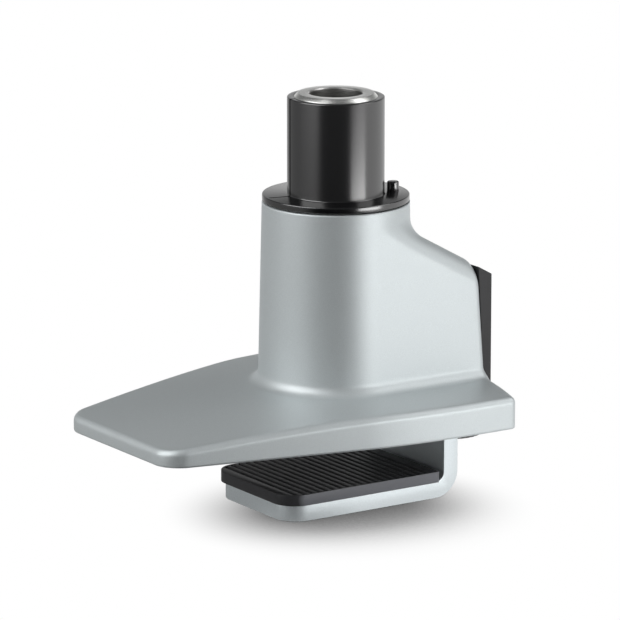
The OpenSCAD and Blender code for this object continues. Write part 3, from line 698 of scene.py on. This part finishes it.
def make_cover():
    """The rear cover: a rounded shell on the body's rear face, with four recessed screws."""
    low, high = span("rear_cover")
    half = high.x
    centre_y = high.y - COVER_BACK_R
    corner_y = BODY_LEN + COVER_SIDE_STEP - centre_y
    flank = math.atan2(corner_y, half) + math.acos(COVER_BACK_R / math.hypot(half, corner_y))

    def plan(inset):
        arc_r = COVER_BACK_R - inset
        arc = [
            (arc_r * math.cos(a), centre_y + arc_r * math.sin(a))
            for a in np.linspace(flank, math.pi - flank, 28)
        ]
        side_x = half - inset
        side_y = arc[0][1] - (side_x - arc[0][0]) / math.tan(flank)
        return [(-side_x, side_y), (-side_x, 0), (side_x, 0), (side_x, side_y)] + arc

    def block(name, inset, under):
        """The cover's outer form moved in by the inset, its top sloped as the roof is."""
        solid = prism(name, plan(inset), under, FAR_BACK)
        top = ROOF_REAR_H - 1 - inset / math.cos(ROOF_ANGLE)
        rise = math.tan(ROOF_ANGLE) * FAR_SIDE
        front, back = BODY_LEN - FAR_SIDE, BODY_LEN + FAR_SIDE
        above = [(front, top + rise), (back, top - rise), (back, FAR_UP), (front, FAR_UP)]
        return boolean(solid, prism("cutter", above, -FAR_SIDE, FAR_SIDE, axis=0))

    def rear_y(z, inset=0):
        """Where the body's rear face lies at a height."""
        return BODY_LEN - inset - z * math.tan(REAR_DRAFT)

    foot = low.z - OVER
    above_top = 80
    seated = COVER_SEAT - CLOSE_GAP
    body = [
        (0, foot), (rear_y(foot, seated), foot), (rear_y(COVER_SEAT_TOP, seated), COVER_SEAT_TOP),
        (rear_y(COVER_SEAT_TOP), COVER_SEAT_TOP), (rear_y(above_top), above_top), (0, above_top),
    ]
    cover = block("round_cover", 0, low.z)
    boolean(cover, prism("cutter", body, -FAR_SIDE, FAR_SIDE, axis=0))
    boolean(cover, block("hollow", COVER_WALL, foot))
    screws_low, screws_high = span("rear_cover_screws")
    places = [
        (x, z)
        for x in (screws_low.x + COVER_HEAD_R, screws_high.x - COVER_HEAD_R)
        for z in (screws_low.z + COVER_HEAD_R, screws_high.z - COVER_HEAD_R)
    ]
    for x, z in places:
        pillar = rod_along_y("pillar", x, z, COVER_SCREW_R + COVER_PILLAR_WALL, rear_y(z) + 0.3, high.y)
        boolean(pillar, block("round_cover", 0.01, low.z), "INTERSECT")
        boolean(cover, pillar, "UNION")
        boolean(cover, rod_along_y("cutter", x, z, COVER_SCREW_R, rear_y(z) + 2, FAR_BACK))
        boolean(cover, rod_along_y("cutter", x, z, COVER_HOLE_R, rear_y(z) - 2, FAR_BACK))
    bevel(cover, 0.45, segments=3, angle=38)
    shade(cover, angle=35)
    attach(cover, "base")
    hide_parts("rear_cover")
    return cover


# Helpers for shader nodes

def new_node(tree, kind, **settings):
    """A new shader node with some of its properties set."""
    node = tree.nodes.new("ShaderNode" + kind)
    for key, value in settings.items():
        setattr(node, key, value)
    return node


def feed(tree, socket, value):
    """Gives an input another node's output, or else a plain value."""
    if isinstance(value, bpy.types.NodeSocket):
        tree.links.new(value, socket)
    else:
        socket.default_value = value


def math_node(tree, operation, first, second=0.0):
    """A sum, product, power, size or maximum of numbers."""
    node = new_node(tree, "Math", operation=operation)
    feed(tree, node.inputs[0], first)
    feed(tree, node.inputs[1], second)
    return node.outputs["Value"]


def vector_measure(tree, operation, source, other=(0, 0, 0)):
    """A length, a distance or a product of vectors."""
    node = new_node(tree, "VectorMath", operation=operation)
    feed(tree, node.inputs[0], source)
    feed(tree, node.inputs[1], other)
    return node.outputs["Value"]


def ramp(tree, source, places, values, shape="LINEAR"):
    """A change from the first of two values to the second, between two places of the source."""
    node = new_node(tree, "MapRange", interpolation_type=shape)
    feed(tree, node.inputs["Value"], source)
    for name, value in zip(("From Min", "From Max", "To Min", "To Max"), (*places, *values)):
        node.inputs[name].default_value = value
    return node.outputs["Result"]


def spread(tree, source, low, high):
    """A 0 to 1 value taken to run from low to high."""
    return ramp(tree, source, (0.0, 1.0), (low, high))


def mix(tree, kind, factor, first, second):
    """A mix of two numbers or two colours."""
    node = new_node(tree, "Mix", data_type=kind)
    feed(tree, node.inputs["Factor"], factor)
    feed(tree, node.inputs["A"], first)
    feed(tree, node.inputs["B"], second)
    return node.outputs["Result"]


def mix_shaders(tree, factor, first, second):
    node = new_node(tree, "MixShader")
    for socket, source in zip(node.inputs, (factor, first, second)):
        tree.links.new(source, socket)
    return node.outputs["Shader"]


def opaque(colour):
    """A colour with its alpha."""
    return (*colour, 1)


def noise(tree, scale, detail):
    """A noise of 0 to 1 in the piece's own space, its scale given for metres."""
    place = new_node(tree, "TexCoord")
    texture = new_node(tree, "TexNoise")
    texture.inputs["Scale"].default_value = scale
    texture.inputs["Detail"].default_value = detail
    tree.links.new(place.outputs["Object"], texture.inputs["Vector"])
    return texture.outputs["Fac"]


def bump(tree, source, distance, before=None):
    """A normal that follows a height, on top of an earlier normal where there is one."""
    node = new_node(tree, "Bump")
    node.inputs["Distance"].default_value = distance
    tree.links.new(source, node.inputs["Height"])
    if before is not None:
        tree.links.new(before, node.inputs["Normal"])
    return node.outputs["Normal"]


# Materials

def new_material(name):
    """A new material, its node tree and its surface shader."""
    material = bpy.data.materials.new(name)
    material.use_nodes = True
    tree = material.node_tree
    return material, tree, tree.nodes["Principled BSDF"]


def enamel(name, dark, light, roughness, metallic, peel):
    """Silver enamel: fine bright flakes under a satin skin with a faint orange peel."""
    material, tree, shader = new_material(name)
    shader.inputs["Metallic"].default_value = metallic
    flake = noise(tree, scale=5200, detail=1)
    colour = mix(tree, "RGBA", spread(tree, flake, -0.4, 1.4), opaque(dark), opaque(light))
    tree.links.new(colour, shader.inputs["Base Color"])
    satin = spread(tree, noise(tree, scale=900, detail=3), roughness - 0.05, roughness + 0.05)
    tree.links.new(satin, shader.inputs["Roughness"])
    normal = bump(tree, noise(tree, scale=700, detail=2), peel)
    normal = bump(tree, flake, 0.000012, normal)
    tree.links.new(normal, shader.inputs["Normal"])
    return material


def plastic(name, colour, roughness, grain_scale, grain, variation=0.06):
    """Moulded plastic or rubber: a slightly uneven colour and a fine grain, or none where it is 0."""
    material, tree, shader = new_material(name)
    dark = tuple(c * 0.8 for c in colour)
    light = tuple(c * 1.25 for c in colour)
    mottled = mix(tree, "RGBA", noise(tree, scale=160, detail=3), opaque(dark), opaque(light))
    tree.links.new(mottled, shader.inputs["Base Color"])
    texture = noise(tree, scale=grain_scale, detail=2)
    satin = spread(tree, texture, roughness - variation, roughness + variation)
    tree.links.new(satin, shader.inputs["Roughness"])
    if grain:
        tree.links.new(bump(tree, texture, grain), shader.inputs["Normal"])
    return material


def add_gloss(material, level, ior):
    """A stronger mirror image in the skin, as on polished plastic."""
    shader = material.node_tree.nodes["Principled BSDF"]
    shader.inputs["Specular IOR Level"].default_value = level
    shader.inputs["IOR"].default_value = ior


def paint_side_sheen(material, colour):
    """Painted sheen: the long sides, facing along X, are given a paler colour than the moulded skin, standing
    in for the light they catch.
    """
    tree = material.node_tree
    shader = tree.nodes["Principled BSDF"]
    skin = shader.inputs["Base Color"].links[0].from_socket
    place = new_node(tree, "TexCoord")
    across = vector_measure(tree, "DOT_PRODUCT", place.outputs["Normal"], (1, 0, 0))
    # Painted sheen: faces that point along X take the paler colour
    side_sheen = ramp(tree, math_node(tree, "ABSOLUTE", across), (0.9, 0.98), (0.0, 1.0))
    tree.links.new(mix(tree, "RGBA", side_sheen, skin, opaque(colour)), shader.inputs["Base Color"])


def metal(name, colour, roughness):
    """Bare or plated metal with a fine, uneven grain."""
    material, tree, shader = new_material(name)
    shader.inputs["Metallic"].default_value = 1
    dark = tuple(c * 0.88 for c in colour)
    texture = noise(tree, scale=1500, detail=3)
    tree.links.new(mix(tree, "RGBA", texture, opaque(dark), opaque(colour)), shader.inputs["Base Color"])
    tree.links.new(spread(tree, texture, roughness - 0.07, roughness + 0.07), shader.inputs["Roughness"])
    tree.links.new(bump(tree, texture, 0.000004), shader.inputs["Normal"])
    return material


def turned_steel(name, dark, light, bore_shade_colour):
    """Steel with the fine rings that a lathe leaves on its faces and walls, and a darker colour in the bore
    as painted shade.
    """
    material, tree, shader = new_material(name)
    shader.inputs["Metallic"].default_value = 1
    shader.inputs["Anisotropic"].default_value = 0.55
    place = new_node(tree, "TexCoord")
    parts = new_node(tree, "SeparateXYZ")
    tree.links.new(place.outputs["Object"], parts.inputs["Vector"])
    flat = new_node(tree, "CombineXYZ")
    tree.links.new(parts.outputs["X"], flat.inputs["X"])
    tree.links.new(parts.outputs["Y"], flat.inputs["Y"])
    radius = vector_measure(tree, "LENGTH", flat.outputs["Vector"])
    texture = new_node(tree, "TexNoise", noise_dimensions="1D")
    texture.inputs["Scale"].default_value = 9000
    texture.inputs["Detail"].default_value = 3
    tree.links.new(math_node(tree, "ADD", radius, parts.outputs["Z"]), texture.inputs["W"])
    rings = texture.outputs["Fac"]
    bright = mix(tree, "RGBA", rings, opaque(dark), opaque(light))
    # Painted shade: inside the bore the steel takes a darker colour
    outside = ramp(tree, radius, ((POST_BORE_R + 0.05) * MM, (POST_BORE_R + 0.4) * MM), (0.0, 1.0))
    colour = mix(tree, "RGBA", outside, opaque(bore_shade_colour), bright)
    tree.links.new(colour, shader.inputs["Base Color"])
    tree.links.new(spread(tree, rings, 0.2, 0.38), shader.inputs["Roughness"])
    tree.links.new(bump(tree, rings, 0.000006), shader.inputs["Normal"])
    tangent = new_node(tree, "Tangent", direction_type="RADIAL", axis="Z")
    tree.links.new(tangent.outputs["Tangent"], shader.inputs["Tangent"])
    return material


def finish_piece(piece, material):
    """Makes a material the piece's only one."""
    piece.data.materials.clear()
    piece.data.materials.append(material)


# The room: floor, world, camera and lamps

def camera_axes():
    """The photograph's right-hand and away directions, level with the floor."""
    right = Vector((math.sin(CAMERA_TURN), math.cos(CAMERA_TURN), 0))
    away = Vector((-math.cos(CAMERA_TURN), math.sin(CAMERA_TURN), 0))
    return right, away


def room_tone(tree, source):
    """How bright the studio is in a direction from the post."""
    right, away = camera_axes()
    heading = new_node(tree, "VectorMath", operation="NORMALIZE")
    tree.links.new(source, heading.inputs[0])
    to_front = vector_measure(tree, "DOT_PRODUCT", heading.outputs["Vector"], -away)
    to_right = vector_measure(tree, "DOT_PRODUCT", heading.outputs["Vector"], right)
    front = ramp(tree, to_front, FRONT_PLACES, FRONT_TONES, "SMOOTHSTEP")
    side = ramp(tree, to_right, LEFT_PLACES, LEFT_TONES, "SMOOTHSTEP")
    return math_node(tree, "MULTIPLY", front, side)


def near_jaw(tree, source, level):
    """1 close to the jaw, where the object's shadow is kept, and 0 further out."""
    centre = (SHADOW_CENTRE[0] * MM, SHADOW_CENTRE[1] * MM, level)
    distance = vector_measure(tree, "DISTANCE", source, centre)
    return ramp(tree, distance, (SHADOW_NEAR * MM, SHADOW_FAR * MM), (1.0, 0.0), "SMOOTHSTEP")


def make_floor():
    """A white floor that shows the backdrop's white, dimmed by the object's shadow.

    It doesn't hide the jaw where that is wound down below the level it rests on.
    """
    jaw_z = span("clamp_bracket")[0].z
    level = (jaw_z - FLOOR_DROP) * MM
    square = ((-1, -1), (1, -1), (1, 1), (-1, 1))
    corners = [(x * FLOOR_HALF, y * FLOOR_HALF, level) for x, y in square]
    mesh = bpy.data.meshes.new("floor")
    mesh.from_pydata(corners, [], [(0, 1, 2, 3)])
    floor = bpy.data.objects.new("floor", mesh)
    bpy.context.scene.collection.objects.link(floor)
    material = bpy.data.materials.new("pale_floor")
    material.use_nodes = True
    tree = material.node_tree
    tree.nodes.clear()
    place = new_node(tree, "NewGeometry")
    path = new_node(tree, "LightPath")
    shelter = new_node(tree, "AmbientOcclusion", samples=8)
    shelter.inputs["Distance"].default_value = SHELTER_REACH
    open_share = shelter.outputs["AO"]

    paper = new_node(tree, "BsdfDiffuse")
    paper.inputs["Color"].default_value = (FLOOR_GREY, FLOOR_GREY, FLOOR_GREY, 1)
    reflected = new_node(tree, "Emission")
    room = room_tone(tree, place.outputs["Position"])
    mirror_tone = math_node(tree, "MULTIPLY", room, spread(tree, open_share, 0.8, 1.0))
    tree.links.new(mirror_tone, reflected.inputs["Strength"])
    mirrored = math_node(tree, "MAXIMUM", path.outputs["Is Glossy Ray"], path.outputs["Is Transmission Ray"])
    solid = mix_shaders(tree, mirrored, paper.outputs["BSDF"], reflected.outputs["Emission"])

    near = near_jaw(tree, place.outputs["Position"], jaw_z * MM)
    shadow = mix(tree, "FLOAT", near, 1.0, math_node(tree, "POWER", open_share, SHADOW_POWER))
    clear = new_node(tree, "BsdfTransparent")
    tree.links.new(math_node(tree, "MAXIMUM", shadow, path.outputs["Is Shadow Ray"]), clear.inputs["Color"])
    passing = math_node(tree, "MAXIMUM", path.outputs["Is Camera Ray"], path.outputs["Is Shadow Ray"])
    surface = mix_shaders(tree, passing, solid, clear.outputs["BSDF"])
    output = new_node(tree, "OutputMaterial")
    tree.links.new(surface, output.inputs["Surface"])
    mesh.materials.append(material)


def make_world():
    """A dim room that lights the object evenly, with the studio's white for the camera and in mirrors."""
    world = bpy.data.worlds.new("studio")
    bpy.context.scene.world = world
    world.use_nodes = True
    tree = world.node_tree
    tree.nodes.clear()
    place = new_node(tree, "TexCoord")
    parts = new_node(tree, "SeparateXYZ")
    tree.links.new(place.outputs["Generated"], parts.inputs["Vector"])
    wall = ramp(tree, parts.outputs["Z"], WALL_RISE, (1.0, 0.0), "SMOOTHSTEP")
    path = new_node(tree, "LightPath")
    mirrored = math_node(tree, "MAXIMUM", path.outputs["Is Glossy Ray"], path.outputs["Is Transmission Ray"])
    mirrored = math_node(tree, "MULTIPLY", mirrored, wall)
    mirrored = math_node(tree, "MULTIPLY", mirrored, room_tone(tree, place.outputs["Generated"]))
    seen = math_node(tree, "MAXIMUM", path.outputs["Is Camera Ray"], mirrored)
    room = new_node(tree, "Background")
    room.inputs["Color"].default_value = ROOM_COLOUR
    room.inputs["Strength"].default_value = ROOM_LIGHT
    backdrop = new_node(tree, "Background")
    backdrop.inputs["Color"].default_value = (1, 1, 1, 1)
    backdrop.inputs["Strength"].default_value = 1.0
    output = new_node(tree, "OutputWorld")
    shown = mix_shaders(tree, seen, room.outputs["Background"], backdrop.outputs["Background"])
    tree.links.new(shown, output.inputs["Surface"])


def make_camera():
    right, away = camera_axes()
    up = Vector((0, 0, 1))
    data = bpy.data.cameras.new("photo_camera")
    data.sensor_width = SENSOR_WIDTH
    data.lens = SENSOR_WIDTH * FOCAL_SHARE
    data.clip_start = 0.01
    data.clip_end = 50
    camera = bpy.data.objects.new("photo_camera", data)
    bpy.context.scene.collection.objects.link(camera)
    camera.location = (right * CAMERA_SIDE - away * CAMERA_DISTANCE + up * CAMERA_HEIGHT) * MM
    look = away * math.cos(CAMERA_DROP) - up * math.sin(CAMERA_DROP)
    camera.rotation_euler = look.to_track_quat("-Z", "Y").to_euler()
    bpy.context.scene.camera = camera


def make_lamp(name, turn, distance, centre, width, height, radiance):
    """A soft lamp that faces the object and isn't seen by the camera."""
    right, away = camera_axes()
    turn = math.radians(turn)
    level = right * math.sin(turn) - away * math.cos(turn)
    place = level * distance + Vector((0, 0, centre))
    data = bpy.data.lights.new(name, "AREA")
    data.shape = "RECTANGLE"
    data.size = width
    data.size_y = height
    data.energy = radiance * math.pi * width * height
    lamp = bpy.data.objects.new(name, data)
    bpy.context.scene.collection.objects.link(lamp)
    lamp.location = place
    lamp.rotation_euler = (LAMP_AIM - place).to_track_quat("-Z", "Y").to_euler()
    lamp.visible_camera = False


# Build everything

housing = make_housing()
post = make_post()
sleeve = make_sleeve()
stop_pin = make_stop_pin()
bracket = make_bracket()
jaw_pad = make_jaw_pad()
knob = make_knob()
cover = make_cover()

silver = enamel(
    "cast_silver", (0.53, 0.565, 0.575), (0.625, 0.67, 0.68), roughness=0.5, metallic=0.6, peel=0.000006)
light_silver = enamel(
    "bracket_silver", (0.68, 0.73, 0.75), (0.84, 0.9, 0.92), roughness=0.5, metallic=0.6, peel=0.00003)
# The third colour is painted shade inside the post's bore
steel = turned_steel("post_steel", (0.78, 0.78, 0.76), (0.96, 0.96, 0.94), (0.38, 0.375, 0.37))
gloss_black = plastic("sleeve_black", (0.002, 0.002, 0.0025), 0.2, 2500, 0, variation=0.01)
add_gloss(gloss_black, level=1.0, ior=1.64)
rubber = plastic("pad_rubber", (0.04, 0.04, 0.044), 0.5, 2600, 0.000006)
# Painted sheen: the rubber's long sides are given a paler colour
paint_side_sheen(rubber, (0.2, 0.205, 0.225))
satin_black = plastic("knob_black", (0.014, 0.014, 0.015), 0.42, 1800, 0.00001)
matte_black = plastic("cover_black", (0.015, 0.015, 0.0165), 0.55, 2200, 0.00002)
white_plastic = plastic("washer_white", (0.6, 0.6, 0.57), 0.45, 1500, 0.00001)
zinc = metal("zinc_steel", (0.6, 0.61, 0.62), 0.35)
black_steel = metal("black_steel", (0.06, 0.06, 0.065), 0.42)
brass = metal("nut_brass", (0.72, 0.54, 0.26), 0.32)

for piece, material in (
    (housing, silver), (post, steel), (sleeve, gloss_black), (stop_pin, gloss_black), (bracket, light_silver),
    (jaw_pad, rubber), (knob, satin_black), (cover, matte_black),
):
    finish_piece(piece, material)

# CAD nodes that no piece replaces get their finish from their slot
BY_SLOT = {
    "zinc_steel": zinc, "black_steel": black_steel, "nut_brass": brass, "pad_rubber": rubber,
    "washer_white": white_plastic,
}
for part in frame["record"]["subparts"]:
    node = frame["nodes"][part["node"]]
    if part["material_slot"] in BY_SLOT and not node.hide_render:
        finish_piece(node, BY_SLOT[part["material_slot"]])

make_floor()
make_world()
make_camera()
for lamp in LAMPS:
    make_lamp(*lamp)

bpy.context.scene.view_settings.view_transform = "Standard"
